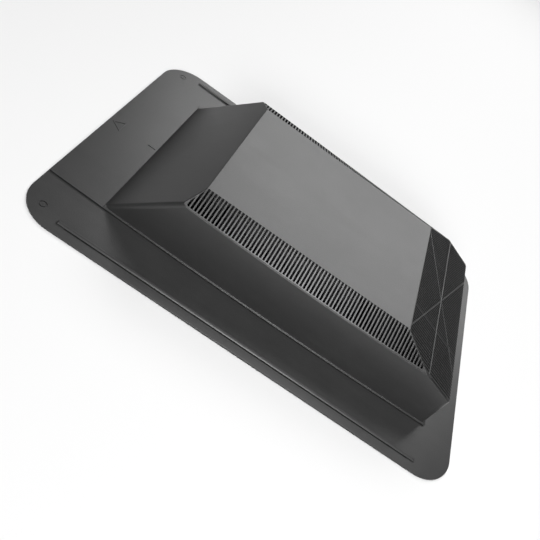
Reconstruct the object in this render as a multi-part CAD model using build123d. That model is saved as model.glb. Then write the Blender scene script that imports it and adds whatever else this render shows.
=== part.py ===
from build123d import *
import math
import os

os.makedirs("parts", exist_ok=True)

# Low roof vent, moulded in plastic, in two mouldings: a flat base flange with
# a collar round its throat, and a slant-backed hood with a back plate that
# lies on the flange. Fine slots pass the air on both sides and at the front.
# Millimetres. Origin: middle of the flange's underside. +Y points up the
# roof slope, +Z away from the roof.

# ---------------------------------------------------------------- flange
FLANGE_W = 430.0          # across the roof, X
FLANGE_L = 565.0          # up the roof, Y
FLANGE_T = 2.0
FLANGE_R = 46.0           # plan radius of the four corners
FLANGE_EDGE = 0.5         # rounding of the flange's top edge

WATER_RIB_X = 201.6       # outer face of the rib along each long side
WATER_RIB_W = 4.8
WATER_RIB_H = 2.0         # height of its crest
WATER_RIB_EDGE = 1.2      # height of its outer edge
WATER_RIB_Y = 235.5       # half length
WATER_RIB_RUN = 3.0       # its ends fall away over this length
WATER_GROOVE_W = 1.0      # drip groove just outside the rib
WATER_GROOVE_D = 0.9
WATER_GROOVE_Y = 225.0

MARK_X = 188.5            # nailing marks in the two upper corners
MARK_Y = 258.5
MARK_R = 4.8
MARK_GROOVE = 1.3
MARK_DEPTH = 0.9
MARK_PILOT_R = 1.3

# ---------------------------------------------------------------- throat
THROAT_W = 210.0
THROAT_L = 210.0
THROAT_R = 20.0
THROAT_Y = -12.0
COLLAR_H = 30.0           # above the flange's top face
COLLAR_T = 2.0

# ---------------------------------------------------------------- hood
PLATE_T = 1.6             # back plate and foot lip
LIP = 2.4                 # foot lip outside the wall
LIP_R = 6589.0            # plan radius of the lip's sides
LIP_SKIN = 0.4            # thin edge of the lip over the shadow gap
LIP_GAP = 1.6             # how far the lip is undercut
LIP_RISE = 0.65           # fall of the lip's top from the wall to its edge
PLATE_BACK_Y = 281.8
WALL_T = 1.8
SKIN_T = 2.4              # ramp and top
FIN_D = 5.0               # depth of the slotted panels
NOSE_Y = -238.5           # front wall
CORNER_R = 5.0
RAMP_SIDE_R = 5.2         # edges between the ramp and the side walls
BREAK_R = 1.6             # all other upper edges
RAMP_DROP = 3.3           # inner face of the ramp, measured down
PLATE_BACK_R = 0.35       # rounding of the plate's upper back edge
DRAIN_W = 12.0
DRAIN_H = 2.4
MARK_RAISE = 0.6

# corner points of the outer faces (x half width, y, z)
TOP_REAR = (110.8, 126.6, 84.1)
TOP_FRONT = (110.6, -150.8, 83.6)
RIM_REAR = (142.9, 138.5, 71.9)
RIM_FRONT = (140.0, -193.6, 67.8)
RAMP_FOOT = (138.6, 210.9, 3.6)
PANEL_NOSE = (136.7, -238.7, 50.8)

# plan curves of the side walls: x = A - (y - Y0)^2 / (2 R)
WALL_LOW = (145.0, -23.7, 6891.0, 4.0)     # A, Y0, R at height z
WALL_HIGH = (143.5, 43.4, 7214.0, 84.0)

# ---------------------------------------------------------------- slots
PITCH = 4.5
GAP = 2.8
SIDE_SLOTS = 74
SIDE_Y0 = 137.0           # rearmost side slot
NOTCH = 1.2               # how far side slots bite into the top's edge
RIM_W = 2.05              # solid rim left outside the side slots
FRONT_HALF = 30           # front slots each side of the middle fin
FRONT_LOW_Z = 9.0         # where the front slots end in the front wall
FRAME_RIB = 1.0           # rib left along the panel's slanted borders
BRACE_W = 2.0             # cross braces of the front panel
BRACE_ROUND = 0.9         # rounding of their crests
BRACE_PROUD = 0.2         # crests of the crossed braces, over the fins' tops
CROSS_PROUD = 0.45        # crest of the cross rib, over the fins' tops
BEAM_DROP = 0.7           # tops of the stout fins, under the others'
BRACE_Y = -195.5
BRACE_TOP_X = 101.3
BRACE_LOW_X = 97.4
BEAM_X = 60.2             # two stout fins
BEAM_W = 2.2
TOP_MARGIN = 1.0          # front slots start this far past the top's edge
SIDE_SLIT = (1.2, 3.0)    # slit along each side of the panel, from the wall's face
CORNER_RUN = 6.0          # run of the rounding at the band's rear outer corner

# ---------------------------------------------------------------- fixings
PEG_R = 1.3
PEG_HEAD_R = 2.3
PLATE_PEG_R = 2.0
PLATE_PEG_HEAD_R = 3.4


def wall_x(y, z, inset=0.0):
    """Half width of the hood's outer wall at a height, less an inset."""
    a0, c0, r0, z0 = WALL_LOW
    a1, c1, r1, z1 = WALL_HIGH
    x0 = a0 - (y - c0) ** 2 / (2 * r0)
    x1 = a1 - (y - c1) ** 2 / (2 * r1)
    t = (z - z0) / (z1 - z0)
    return x0 + (x1 - x0) * t - inset


def plan_face(z, inset, back_y, front_y):
    """Closed plan outline of the hood at a height."""
    ym = (back_y + front_y) / 2
    xb, xm, xf = (wall_x(y, z, inset) for y in (back_y, ym, front_y))
    right = ThreePointArc((xb, back_y, z), (xm, ym, z), (xf, front_y, z))
    left = ThreePointArc((-xf, front_y, z), (-xm, ym, z), (-xb, back_y, z))
    front = Line((xf, front_y, z), (-xf, front_y, z))
    back = Line((-xb, back_y, z), (xb, back_y, z))
    return Face(Wire([right, front, left, back]))


def wall_block(inset, front_y, z_low, z_high, corner):
    faces = [plan_face(z, inset, 240.0, front_y) for z in (z_low, z_high)]
    block = loft(faces, ruled=True)
    edges = [e for e in block.edges()
             if abs(e.center().Y - front_y) < 0.2 and abs(e.center().X) > 100
             and abs(e.bounding_box().size.Z) > 20]
    return fillet(edges, corner)


def prism_yz(points, half_x=300.0):
    """Prism along X with a section in the YZ plane."""
    face = make_face(Polyline(*[(-half_x, y, z) for y, z in points], close=True))
    return extrude(face, amount=2 * half_x, dir=(1, 0, 0))


def band_line(y, drop=0.0):
    """Line of a side band across the roof at one y: inner and outer end."""
    t = (y - TOP_FRONT[1]) / (TOP_REAR[1] - TOP_FRONT[1])
    xt = TOP_FRONT[0] + t * (TOP_REAR[0] - TOP_FRONT[0])
    zt = TOP_FRONT[2] + t * (TOP_REAR[2] - TOP_FRONT[2])
    s = (y - RIM_FRONT[1]) / (RIM_REAR[1] - RIM_FRONT[1])
    xr = RIM_FRONT[0] + s * (RIM_REAR[0] - RIM_FRONT[0])
    zr = RIM_FRONT[2] + s * (RIM_REAR[2] - RIM_FRONT[2])
    k = (zr - zt) / (xr - xt)
    return xt, zt - drop, k


def band_cutter(side, drop=0.0):
    """Everything above one side band, its underside ruled."""
    ends = []
    for y in (245.0, -245.0):
        xt, zt, k = band_line(y, drop)
        pts = [(xt - 40.0, zt - 40.0 * k), (170.0, zt + (170.0 - xt) * k),
               (170.0, 160.0), (xt - 40.0, 160.0)]
        ends.append(make_face(Polyline(*[(side * x, y, z) for x, z in pts],
                                       close=True)))
    return loft(ends, ruled=True)


def ramp_z(y, drop=0.0):
    k = (RAMP_FOOT[2] - TOP_REAR[2]) / (RAMP_FOOT[1] - TOP_REAR[1])
    return TOP_REAR[2] + (y - TOP_REAR[1]) * k - drop


def panel_z(y, drop=0.0):
    k = (PANEL_NOSE[2] - TOP_FRONT[2]) / (PANEL_NOSE[1] - TOP_FRONT[1])
    return TOP_FRONT[2] + (y - TOP_FRONT[1]) * k - drop


def top_z(y, drop=0.0):
    k = (TOP_REAR[2] - TOP_FRONT[2]) / (TOP_REAR[1] - TOP_FRONT[1])
    return TOP_FRONT[2] + (y - TOP_FRONT[1]) * k - drop


def crown(block, d_ramp=0.0, d_top=0.0, d_band=0.0, d_panel=0.0):
    """Cut a wall block down to the ramp, top, panel and side bands."""
    # where the dropped faces meet, in section
    above = 160.0
    ramp = prism_yz([(400.0, ramp_z(400.0, d_ramp)), (60.0, ramp_z(60.0, d_ramp)),
                     (60.0, 400.0), (400.0, 400.0)])
    top = prism_yz([(300.0, top_z(300.0, d_top)), (-300.0, top_z(-300.0, d_top)),
                    (-300.0, above), (300.0, above)])
    panel = prism_yz([(-100.0, panel_z(-100.0, d_panel)),
                      (-300.0, panel_z(-300.0, d_panel)),
                      (-300.0, above), (-100.0, above)])
    return block - [ramp, top, panel, band_cutter(1, d_band),
                    band_cutter(-1, d_band)]


def solid_of(shape):
    s = shape.solids()
    s.sort(key=lambda q: -q.volume)
    return s[0]


# ================================================================ hood body
Z_FOOT = FLANGE_T                      # underside of the plate and lip
Z_PLATE = FLANGE_T + PLATE_T

outer = solid_of(crown(wall_block(0.0, NOSE_Y, Z_FOOT, 92.0, CORNER_R)))
ramp_sides = [e for e in outer.edges()
              if abs(e.center().Y - 175.6) < 4 and abs(e.center().X) > 130]
outer = solid_of(fillet(ramp_sides, RAMP_SIDE_R))
outer = solid_of(fillet([e for e in outer.edges()
                         if e.bounding_box().min.Z > 46.0], BREAK_R))

inner = solid_of(crown(wall_block(WALL_T, NOSE_Y + WALL_T, Z_FOOT - 1.0, 92.0,
                                  CORNER_R - WALL_T),
                       d_ramp=RAMP_DROP, d_top=SKIN_T, d_band=FIN_D,
                       d_panel=FIN_D))


# ---------------------------------------------------------- back plate, foot
def foot_x(y):
    a, c, r, _ = WALL_LOW
    return a + LIP - (y - c) ** 2 / (2 * LIP_R)


yb, yf = PLATE_BACK_Y, NOSE_Y - LIP
ym = (yb + yf) / 2
plate_face = Face(Wire([
    ThreePointArc((foot_x(yb), yb, Z_FOOT), (foot_x(ym), ym, Z_FOOT),
                  (foot_x(yf), yf, Z_FOOT)),
    Line((foot_x(yf), yf, Z_FOOT), (-foot_x(yf), yf, Z_FOOT)),
    ThreePointArc((-foot_x(yf), yf, Z_FOOT), (-foot_x(ym), ym, Z_FOOT),
                  (-foot_x(yb), yb, Z_FOOT)),
    Line((-foot_x(yb), yb, Z_FOOT), (foot_x(yb), yb, Z_FOOT))]))
plate = Pos(0, 0, PLATE_T - LIP_SKIN) * extrude(plate_face, amount=LIP_SKIN,
                                                dir=(0, 0, 1))
plate = fillet([e for e in plate.edges().filter_by(Axis.Z)
                if e.center().Y < 0], CORNER_R + LIP)
plate = fillet([e for e in plate.edges()
                if abs(e.center().Z - Z_PLATE) < 0.01 and e.center().Y > yb - 1],
               PLATE_BACK_R)

lower_x = LIP - LIP_GAP
lower_face = Face(Wire([
    ThreePointArc((foot_x(yb) - LIP_GAP, yb, Z_FOOT),
                  (foot_x(ym) - LIP_GAP, ym, Z_FOOT),
                  (foot_x(yf) - LIP_GAP, yf + LIP_GAP, Z_FOOT)),
    Line((foot_x(yf) - LIP_GAP, yf + LIP_GAP, Z_FOOT),
         (-foot_x(yf) + LIP_GAP, yf + LIP_GAP, Z_FOOT)),
    ThreePointArc((-foot_x(yf) + LIP_GAP, yf + LIP_GAP, Z_FOOT),
                  (-foot_x(ym) + LIP_GAP, ym, Z_FOOT),
                  (-foot_x(yb) + LIP_GAP, yb, Z_FOOT)),
    Line((-foot_x(yb) + LIP_GAP, yb, Z_FOOT), (foot_x(yb) - LIP_GAP, yb, Z_FOOT))]))
lower = extrude(lower_face, amount=PLATE_T - LIP_SKIN + 0.01, dir=(0, 0, 1))
lower = fillet([e for e in lower.edges().filter_by(Axis.Z)
                if e.center().Y < 0], CORNER_R + lower_x)

# the lip's top falls outwards from the wall
ramp_void = prism_yz([(400.0, ramp_z(400.0)), (60.0, ramp_z(60.0)),
                      (60.0, 400.0), (400.0, 400.0)])
over = 0.6                # run on into the wall, so that the faces cross
flare = loft([plan_face(Z_PLATE, -(LIP - 0.1), 211.0, NOSE_Y - LIP + 0.1),
              plan_face(Z_PLATE + LIP_RISE * (1 + over / (LIP - 0.1)), over,
                        211.0, NOSE_Y + over)], ruled=True)
flare = fillet([e for e in flare.edges()
                if abs(e.center().Y - NOSE_Y + (LIP - over) / 2) < 0.5
                and abs(e.center().X) > 100
                and e.bounding_box().size.Z > 0.1], CORNER_R + 1.0)
flare = solid_of(flare - ramp_void)

hood = solid_of((outer + plate + lower + flare) - inner)


# ---------------------------------------------------------------- slots
def clip(poly, axis, value, keep_less):
    """Cut a convex polygon by one line square to X (0) or Y (1)."""
    out = []
    for i, p in enumerate(poly):
        q = poly[(i + 1) % len(poly)]
        pin = p[axis] <= value if keep_less else p[axis] >= value
        qin = q[axis] <= value if keep_less else q[axis] >= value
        if pin:
            out.append(p)
        if pin != qin:
            t = (value - p[axis]) / (q[axis] - p[axis])
            out.append((p[0] + (q[0] - p[0]) * t, p[1] + (q[1] - p[1]) * t))
    return out


def area(poly):
    return 0.5 * abs(sum(p[0] * q[1] - q[0] * p[1]
                         for p, q in zip(poly, poly[1:] + poly[:1])))


def tidy(poly):
    out = []
    for p in poly:
        if not out or math.dist(p, out[-1]) > 0.02:
            out.append(p)
    if len(out) > 2 and math.dist(out[0], out[-1]) < 0.02:
        out.pop()
    return out


def rim_z(y):
    s = (y - RIM_FRONT[1]) / (RIM_REAR[1] - RIM_FRONT[1])
    return RIM_FRONT[2] + s * (RIM_REAR[2] - RIM_FRONT[2])


# slotted area of the right side band, in plan
rear_k = (RIM_REAR[1] - TOP_REAR[1]) / (RIM_REAR[0] - TOP_REAR[0])
front_k = (RIM_FRONT[1] - TOP_FRONT[1]) / (RIM_FRONT[0] - TOP_FRONT[0])
band_area = [(wall_x(y, rim_z(y)) - RIM_W, y)
             for y in [-215.0 + 2.5 * i for i in range(150)]]
band_area = [p for p in band_area
             if p[1] > TOP_FRONT[1] + (p[0] - TOP_FRONT[0]) * front_k
             + FRAME_RIB * math.hypot(1, front_k)
             and p[1] < TOP_REAR[1] + (p[0] - TOP_REAR[0]) * rear_k
             - FRAME_RIB * math.hypot(1, rear_k)]
ya = TOP_REAR[1] - FRAME_RIB * math.hypot(1, rear_k)
yc = TOP_FRONT[1] + FRAME_RIB * math.hypot(1, front_k)
# round the two outer corners
xo, yo = band_area[-1]
yo = ya + (xo - TOP_REAR[0]) * rear_k
run = CORNER_RUN / math.hypot(1, rear_k)
band_area = [p for p in band_area if p[1] < yo - CORNER_RUN]
for t in (0.0, 0.2, 0.4, 0.6, 0.8, 1.0):
    a, b, c = (1 - t) ** 2, 2 * t * (1 - t), t * t
    band_area.append((a * xo + b * xo + c * (xo - run),
                      a * (yo - CORNER_RUN) + b * yo + c * (yo - run * rear_k)))
band_area.append((TOP_REAR[0] - NOTCH, ya - NOTCH * rear_k))
band_area.append((TOP_FRONT[0] - NOTCH, yc - NOTCH * front_k))
xo, yo = band_area[0]
band_area.insert(0, (xo - 2.0, yc + (xo - 2.0 - TOP_FRONT[0]) * front_k))

cutters = []
for i in range(SIDE_SLOTS):
    yc_i = SIDE_Y0 - PITCH * i
    poly = clip(band_area, 1, yc_i + GAP / 2, True)
    poly = tidy(clip(poly, 1, yc_i - GAP / 2, False)) if poly else []
    if len(poly) < 3 or area(poly) < 6.0:
        continue
    for side in (1, -1):
        face = make_face(Polyline(*[(side * x, y, 45.0) for x, y in poly],
                                  close=True))
        cutters.append(extrude(face, amount=60.0, dir=(0, 0, 1)))

# slotted area of the front panel, in plan; it runs out through the nose
yt = TOP_FRONT[1] - TOP_MARGIN
slant = FRAME_RIB * math.hypot(1, front_k)
corner_x = TOP_FRONT[0] + (slant - TOP_MARGIN) / front_k
edge_low = [(wall_x(y, panel_z(y)) - WALL_T - 0.5, y)
            for y in (-215.0, -225.0, -234.0)]
side_x = edge_low[0][0]
kink_y = TOP_FRONT[1] - slant + (side_x - TOP_FRONT[0]) * front_k
front_area = ([(-corner_x, yt), (corner_x, yt), (side_x, kink_y)]
              + edge_low[1:] + [(edge_low[-1][0], -250.0)])
front_area += [(-edge_low[-1][0], -250.0)]
front_area += [(-x, y) for x, y in reversed(edge_low[1:])]
front_area += [(-side_x, kink_y)]
for i in range(FRONT_HALF):
    for side in (1, -1):
        xc = side * PITCH * (i + 0.5)
        poly = clip(front_area, 0, xc + GAP / 2, True)
        poly = tidy(clip(poly, 0, xc - GAP / 2, False)) if poly else []
        if len(poly) < 3:
            continue
        face = make_face(Polyline(*[(x, y, FRONT_LOW_Z) for x, y in poly],
                                  close=True))
        cutters.append(extrude(face, amount=100.0, dir=(0, 0, 1)))

# slit along each side of the panel
depth = prism_yz([(-198.0, panel_z(-198.0) + 3.0), (-260.0, panel_z(-260.0) + 3.0),
                  (-260.0, panel_z(-260.0, FIN_D)), (-198.0, panel_z(-198.0, FIN_D))])
slit_in = [(wall_x(y, panel_z(y)) - SIDE_SLIT[1], y) for y in (-200.0, -215.0, -231.0)]
slit_out = [(wall_x(y, panel_z(y)) - SIDE_SLIT[0], y) for y in (-231.0, -215.0, -200.0)]
for side in (1, -1):
    face = make_face(Polyline(*[(side * x, y, 35.0) for x, y in slit_in + slit_out],
                              close=True))
    cutters.append(solid_of(extrude(face, amount=60.0, dir=(0, 0, 1)) & depth))

hood = solid_of(hood - cutters)

# braces and stout fins across the front panel
def slab(proud):
    """The panel's own depth, up to a height over its fins' tops."""
    y0 = TOP_FRONT[1] - 1.0
    return prism_yz([(y0, panel_z(y0) + proud), (NOSE_Y, panel_z(NOSE_Y) + proud),
                     (NOSE_Y, panel_z(NOSE_Y, FIN_D)), (y0, panel_z(y0, FIN_D))],
                    half_x=136.0)


def strip(x0, y0, x1, y1, width):
    d = math.hypot(x1 - x0, y1 - y0)
    nx, ny = -(y1 - y0) / d * width / 2, (x1 - x0) / d * width / 2
    face = make_face(Polyline((x0 + nx, y0 + ny, 30.0), (x1 + nx, y1 + ny, 30.0),
                              (x1 - nx, y1 - ny, 30.0), (x0 - nx, y0 - ny, 30.0),
                              close=True))
    return extrude(face, amount=70.0, dir=(0, 0, 1))


brace_end = wall_x(BRACE_Y, panel_z(BRACE_Y)) - WALL_T / 2
braces = [(-BRACE_TOP_X, TOP_FRONT[1], BRACE_LOW_X, NOSE_Y, BRACE_W, BRACE_PROUD, True),
          (BRACE_TOP_X, TOP_FRONT[1], -BRACE_LOW_X, NOSE_Y, BRACE_W, BRACE_PROUD, True),
          (-brace_end, BRACE_Y, brace_end, BRACE_Y, BRACE_W, CROSS_PROUD, True),
          (BEAM_X, -140.0, BEAM_X, -250.0, BEAM_W, -BEAM_DROP, False),
          (-BEAM_X, -140.0, -BEAM_X, -250.0, BEAM_W, -BEAM_DROP, False)]
for x0, y0, x1, y1, width, proud, crest in braces:
    bar = solid_of(strip(x0, y0, x1, y1, width) & slab(proud))
    if crest:
        long_top = [e for e in bar.edges() if e.length > 60
                    and e.center().Z > panel_z(e.center().Y, FIN_D / 2)]
        bar = solid_of(fillet(long_top, BRACE_ROUND))
    hood = solid_of(hood + bar)

# drain notches under the front wall
for x in (-88.0, -30.0, 30.0, 88.0):
    hood = hood - Pos(x, NOSE_Y, Z_FOOT + DRAIN_H / 2) * Box(DRAIN_W, 12.0, DRAIN_H)

# plain raised marks on the back plate: an arrow that points up the roof and
# a short centre line at the foot of the ramp
arrow = make_face(Polyline((-11.5, 262.0, Z_PLATE - 0.5),
                           (11.5, 262.0, Z_PLATE - 0.5),
                           (0.0, 277.5, Z_PLATE - 0.5), close=True))
hole = make_face(Polyline((-8.1, 263.5, Z_PLATE - 0.5),
                          (8.1, 263.5, Z_PLATE - 0.5),
                          (0.0, 274.4, Z_PLATE - 0.5), close=True))
arrow = extrude(arrow - hole, amount=0.5 + MARK_RAISE, dir=(0, 0, 1))
hood = hood + arrow
hood = hood + Pos(0, 218.5, Z_PLATE + MARK_RAISE / 2 - 0.25) * Box(
    1.4, 11.0, MARK_RAISE + 0.5)

# pegs under the foot and plate, staked over in the flange's underside
pegs = []
for y in (-200.0, -112.0, -24.0, 64.0, 152.0):
    x = wall_x(y, Z_FOOT) + (lower_x - WALL_T) / 2
    pegs += [(x, y, PEG_R, PEG_HEAD_R), (-x, y, PEG_R, PEG_HEAD_R)]
for x in (-118.0, -59.0, 0.0, 59.0, 118.0):
    pegs.append((x, NOSE_Y + (WALL_T - lower_x) / 2, PEG_R, PEG_HEAD_R))
for x, y in ((-118.0, 232.0), (118.0, 232.0), (-118.0, 268.0), (0.0, 240.0),
             (118.0, 268.0)):
    pegs.append((x, y, PLATE_PEG_R, PLATE_PEG_HEAD_R))


def stake(x, y, r, head):
    h = head - r
    return (Pos(x, y, h / 2) * Cone(head, r, h)
            + Pos(x, y, (h + Z_FOOT + 1.0) / 2) * Cylinder(r, Z_FOOT + 1.0 - h))


stakes = [solid_of(stake(*p)) for p in pegs]
hood = solid_of(hood + stakes)

# ================================================================ base
flange = extrude(RectangleRounded(FLANGE_W, FLANGE_L, FLANGE_R), amount=FLANGE_T)
flange = fillet(flange.edges().group_by(Axis.Z)[-1], FLANGE_EDGE)
collar_in = Pos(0, THROAT_Y) * RectangleRounded(THROAT_W, THROAT_L, THROAT_R)
collar_out = Pos(0, THROAT_Y) * RectangleRounded(
    THROAT_W + 2 * COLLAR_T, THROAT_L + 2 * COLLAR_T, THROAT_R + COLLAR_T)
collar = extrude(collar_out, amount=FLANGE_T + COLLAR_H)
base = flange + collar
foot_edges = [e for e in base.edges()
              if abs(e.center().Z - FLANGE_T) < 0.01
              and abs(e.center().X) < THROAT_W / 2 + COLLAR_T + 1
              and abs(e.center().Y - THROAT_Y) < THROAT_L / 2 + COLLAR_T + 1]
base = fillet(foot_edges, 2.0)
base = base - Pos(0, 0, -1) * extrude(collar_in, amount=60.0)
base = fillet([e for e in base.edges()
               if abs(e.center().Z - FLANGE_T - COLLAR_H) < 0.01], 0.8)

# water rib along each long side: an upright outer edge, a rounded top that
# falls back inwards, and a drip groove at its outer foot
for side in (1, -1):
    x0 = WATER_RIB_X
    z0, z1 = FLANGE_T + WATER_RIB_EDGE, FLANGE_T + WATER_RIB_H
    def at(x, z):
        return (side * x, -WATER_RIB_Y, z)
    outline = Wire([
        Line(at(x0, FLANGE_T - 0.4), at(x0, z0)),
        ThreePointArc(at(x0, z0), at(x0 - 1.7, z0 + 0.56), at(x0 - 3.7, z1)),
        Line(at(x0 - 3.7, z1), at(x0 - 4.1, z1 - 0.05)),
        Line(at(x0 - 4.1, z1 - 0.05), at(x0 - WATER_RIB_W, FLANGE_T - 0.4)),
        Line(at(x0 - WATER_RIB_W, FLANGE_T - 0.4), at(x0, FLANGE_T - 0.4))])
    rib = extrude(Face(outline), amount=2 * WATER_RIB_Y, dir=(0, 1, 0))
    for end in (1, -1):
        y = end * WATER_RIB_Y
        rib = rib - prism_yz([(y, FLANGE_T - 0.1), (y + end * 5.0, FLANGE_T - 0.1),
                              (y + end * 5.0, FLANGE_T + 6.0),
                              (y - end * WATER_RIB_RUN * 2, FLANGE_T + 6.0),
                              (y - end * WATER_RIB_RUN, z1 + 0.1)])
    base = base + solid_of(rib)
    base = base - Pos(side * (x0 + WATER_GROOVE_W / 2), 0, FLANGE_T) * Box(
        WATER_GROOVE_W, 2 * WATER_GROOVE_Y, 2 * WATER_GROOVE_D)

# nailing marks: a ring and a centre dimple sunk in each upper corner
for side in (1, -1):
    ring = Circle(MARK_R) - Circle(MARK_R - MARK_GROOVE)
    at = Pos(side * MARK_X, MARK_Y, FLANGE_T - MARK_DEPTH)
    base = base - at * extrude(ring, amount=2.0)
    base = base - Pos(side * MARK_X, MARK_Y, FLANGE_T) * Cone(
        0.1, MARK_PILOT_R, 2 * MARK_DEPTH)

base = solid_of(base - stakes)

base.label = "base"
hood.label = "hood"
export_step(base, "parts/base.step")
export_step(hood, "parts/hood.step")
print("base", base.is_valid, round(base.volume / 1000, 1), "cm3")
print("hood", hood.is_valid, round(hood.volume / 1000, 1), "cm3")
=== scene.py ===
import math

import bpy
from mathutils import Matrix, Vector

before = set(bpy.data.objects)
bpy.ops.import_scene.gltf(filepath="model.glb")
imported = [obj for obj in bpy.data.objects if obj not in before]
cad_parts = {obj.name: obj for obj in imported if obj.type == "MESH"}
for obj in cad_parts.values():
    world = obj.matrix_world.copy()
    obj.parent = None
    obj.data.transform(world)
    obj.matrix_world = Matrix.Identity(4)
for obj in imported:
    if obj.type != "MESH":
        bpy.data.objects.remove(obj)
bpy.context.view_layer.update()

scene = bpy.context.scene
scene.view_settings.view_transform = "Standard"
scene.view_settings.look = "None"
scene.view_settings.exposure = 0.0
scene.view_settings.gamma = 1.0

# ---------------------------------------------------------------- camera
RIGHT = Vector((0.29269, -0.81883, 0.49381))
UP = Vector((0.57419, 0.56346, 0.59398))
BACK = Vector((-0.76462, 0.10969, 0.63508))
PLACE = Vector((-0.698157, 0.100642, 0.527013))

cam_data = bpy.data.cameras.new("camera")
cam_data.sensor_width = 36.0
cam_data.lens = 44.62
cam_data.clip_start = 0.01
cam_data.clip_end = 50.0
camera = bpy.data.objects.new("camera", cam_data)
scene.collection.objects.link(camera)
turn = Matrix((RIGHT, UP, BACK)).transposed().to_4x4()
camera.matrix_world = Matrix.Translation(PLACE) @ turn
scene.camera = camera

# ---------------------------------------------------------------- materials
BASE_GRAY = 0.036
HOOD_GRAY = 0.036


def node(tree, kind, place, **values):
    n = tree.nodes.new(kind)
    n.location = place
    for key, value in values.items():
        setattr(n, key, value)
    return n


def link(tree, a, out, b, inp):
    tree.links.new(a.outputs[out], b.inputs[inp])


def moulded_plastic(name, gray, seed):
    """Black polypropylene from a spark-eroded mould: fine matte pits, a slow change of
    tone where the melt cooled at different speeds and faint flow streaks."""
    m = bpy.data.materials.new(name)
    m.use_nodes = True
    t = m.node_tree
    t.nodes.clear()
    out = node(t, "ShaderNodeOutputMaterial", (1300, 0))
    shader = node(t, "ShaderNodeBsdfPrincipled", (1000, 0))
    shader.inputs["IOR"].default_value = 1.48
    shader.inputs["Specular IOR Level"].default_value = 0.5
    shader.inputs["Metallic"].default_value = 0.0
    link(t, shader, "BSDF", out, "Surface")

    where = node(t, "ShaderNodeTexCoord", (-1500, 0))
    moved = node(t, "ShaderNodeMapping", (-1300, 0))
    moved.inputs["Location"].default_value = (seed, seed * 0.37, -seed * 0.71)
    link(t, where, "Object", moved, "Vector")

    # slow mottling of the tone, about 40 mm across
    mottle = node(t, "ShaderNodeTexNoise", (-1000, 300))
    mottle.inputs["Scale"].default_value = 24.0
    mottle.inputs["Detail"].default_value = 4.0
    mottle.inputs["Roughness"].default_value = 0.55
    link(t, moved, "Vector", mottle, "Vector")

    # flow streaks along the length of the part
    drawn = node(t, "ShaderNodeMapping", (-1150, 80))
    drawn.inputs["Scale"].default_value = (1.0, 0.16, 1.0)
    link(t, moved, "Vector", drawn, "Vector")
    streak = node(t, "ShaderNodeTexNoise", (-1000, 80))
    streak.inputs["Scale"].default_value = 70.0
    streak.inputs["Detail"].default_value = 5.0
    streak.inputs["Roughness"].default_value = 0.6
    link(t, drawn, "Vector", streak, "Vector")

    # the mould's grain: pits of about 0.7 mm, with finer ones inside
    grain = node(t, "ShaderNodeTexNoise", (-1000, -180))
    grain.inputs["Scale"].default_value = 1500.0
    grain.inputs["Detail"].default_value = 3.0
    grain.inputs["Roughness"].default_value = 0.62
    link(t, moved, "Vector", grain, "Vector")
    pits = node(t, "ShaderNodeTexVoronoi", (-1000, -420))
    pits.feature = "SMOOTH_F1"
    pits.inputs["Scale"].default_value = 900.0
    pits.inputs["Smoothness"].default_value = 0.6
    link(t, moved, "Vector", pits, "Vector")

    # colour: mottle and streaks together, plus a trace of the grain
    tone = node(t, "ShaderNodeMapRange", (-760, 300))
    tone.inputs["From Min"].default_value = 0.3
    tone.inputs["From Max"].default_value = 0.7
    tone.inputs["To Min"].default_value = 0.95
    tone.inputs["To Max"].default_value = 1.05
    link(t, mottle, "Fac", tone, "Value")
    tone2 = node(t, "ShaderNodeMapRange", (-760, 80))
    tone2.inputs["From Min"].default_value = 0.3
    tone2.inputs["From Max"].default_value = 0.7
    tone2.inputs["To Min"].default_value = 0.96
    tone2.inputs["To Max"].default_value = 1.04
    link(t, streak, "Fac", tone2, "Value")
    tone3 = node(t, "ShaderNodeMapRange", (-760, -120))
    tone3.inputs["From Min"].default_value = 0.25
    tone3.inputs["From Max"].default_value = 0.75
    tone3.inputs["To Min"].default_value = 0.88
    tone3.inputs["To Max"].default_value = 1.12
    link(t, grain, "Fac", tone3, "Value")
    both = node(t, "ShaderNodeMath", (-540, 200), operation="MULTIPLY")
    link(t, tone, "Result", both, 0)
    link(t, tone2, "Result", both, 1)
    allthree = node(t, "ShaderNodeMath", (-380, 120), operation="MULTIPLY")
    link(t, both, 0, allthree, 0)
    link(t, tone3, "Result", allthree, 1)
    hue = node(t, "ShaderNodeMix", (-160, 200), data_type="RGBA", blend_type="MIX")
    hue.inputs[6].default_value = (gray * 0.80, gray * 0.80, gray * 0.81, 1.0)
    hue.inputs[7].default_value = (gray * 1.20, gray * 1.20, gray * 1.19, 1.0)
    spread = node(t, "ShaderNodeMapRange", (-340, -60))
    spread.inputs["From Min"].default_value = 0.8
    spread.inputs["From Max"].default_value = 1.2
    link(t, allthree, 0, spread, "Value")
    link(t, spread, "Result", hue, 0)
    link(t, hue, 2, shader, "Base Color")

    # roughness: matte, a little smoother along the streaks and in worn spots
    rough = node(t, "ShaderNodeMapRange", (200, -40))
    rough.inputs["From Min"].default_value = 0.25
    rough.inputs["From Max"].default_value = 0.75
    rough.inputs["To Min"].default_value = 0.30
    rough.inputs["To Max"].default_value = 0.37
    mixed = node(t, "ShaderNodeMath", (20, -60), operation="MULTIPLY_ADD")
    mixed.inputs[1].default_value = 0.45
    link(t, mottle, "Fac", mixed, 0)
    half = node(t, "ShaderNodeMath", (-160, -120), operation="MULTIPLY")
    half.inputs[1].default_value = 0.55
    link(t, streak, "Fac", half, 0)
    link(t, half, 0, mixed, 2)
    link(t, mixed, 0, rough, "Value")
    link(t, rough, "Result", shader, "Roughness")

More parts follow.
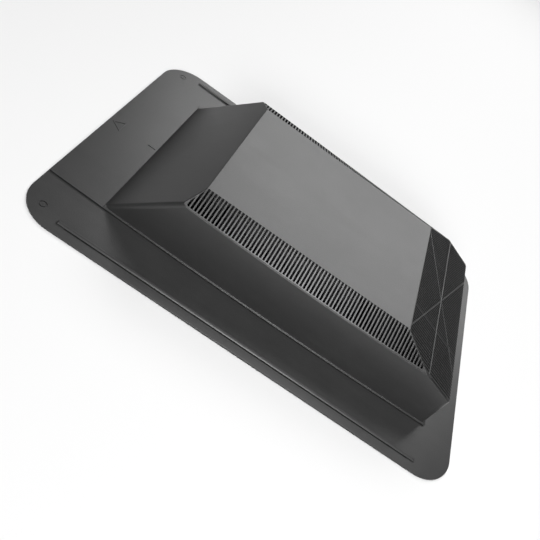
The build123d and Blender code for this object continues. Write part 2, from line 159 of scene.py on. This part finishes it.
    # relief: pits and grain for light to break on, over a very shallow sink of the skin
    relief = node(t, "ShaderNodeMath", (-540, -420), operation="MULTIPLY_ADD")
    relief.inputs[1].default_value = 0.6
    link(t, grain, "Fac", relief, 0)
    link(t, pits, "Distance", relief, 2)
    fine = node(t, "ShaderNodeBump", (500, -360))
    fine.inputs["Strength"].default_value = 0.35
    fine.inputs["Distance"].default_value = 0.00012
    link(t, relief, 0, fine, "Height")
    broad = node(t, "ShaderNodeBump", (740, -360))
    broad.inputs["Strength"].default_value = 0.12
    broad.inputs["Distance"].default_value = 0.0003
    link(t, mottle, "Fac", broad, "Height")
    link(t, fine, "Normal", broad, "Normal")
    link(t, broad, "Normal", shader, "Normal")
    return m


for name, gray, seed in (("base", BASE_GRAY, 3.1), ("hood", HOOD_GRAY, 7.7)):
    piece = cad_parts[name]
    finish = moulded_plastic(name + "_plastic", gray, seed)
    piece.data.materials.clear()
    piece.data.materials.append(finish)

# ---------------------------------------------------------------- floor
pale = bpy.data.materials.new("pale_floor")
pale.use_nodes = True
shader = pale.node_tree.nodes["Principled BSDF"]
shader.inputs["Base Color"].default_value = (0.86, 0.86, 0.86, 1.0)
shader.inputs["Roughness"].default_value = 0.8
shader.inputs["Specular IOR Level"].default_value = 0.2
mesh = bpy.data.meshes.new("floor")
size = 6.0
mesh.from_pydata([(-size, -size, 0), (size, -size, 0), (size, size, 0), (-size, size, 0)], [], [(0, 1, 2, 3)])
floor = bpy.data.objects.new("floor", mesh)
floor.location = (0, 0, -0.0004)
floor.data.materials.append(pale)
scene.collection.objects.link(floor)

# ---------------------------------------------------------------- light
world = bpy.data.worlds.new("world")
scene.world = world
world.use_nodes = True
world.node_tree.nodes["Background"].inputs["Color"].default_value = (1.0, 1.0, 1.0, 1.0)
world.node_tree.nodes["Background"].inputs["Strength"].default_value = 0.02


def softbox(name, azimuth, elevation, distance, wide, tall, power, aim=(0.0, 0.0, 0.03)):
    """Azimuth is measured from +X towards +Y; the box faces the aim point."""
    a, e = math.radians(azimuth), math.radians(elevation)
    way = Vector((math.cos(a) * math.cos(e), math.sin(a) * math.cos(e), math.sin(e)))
    data = bpy.data.lights.new(name, "AREA")
    data.shape = "RECTANGLE"
    data.size, data.size_y = wide, tall
    data.energy = power
    lamp = bpy.data.objects.new(name, data)
    scene.collection.objects.link(lamp)
    lamp.location = Vector(aim) + way * distance
    lamp.rotation_euler = way.to_track_quat("Z", "Y").to_euler()
    return lamp


softbox("overhead", 225, 80, 3.0, 0.9, 0.9, 63)
softbox("key", -9, 32, 3.0, 2.4, 0.75, 26)
softbox("high_key", -15, 50, 3.0, 1.6, 1.0, 17)
softbox("side_fill", 188, 20, 3.0, 1.8, 0.6, 50)
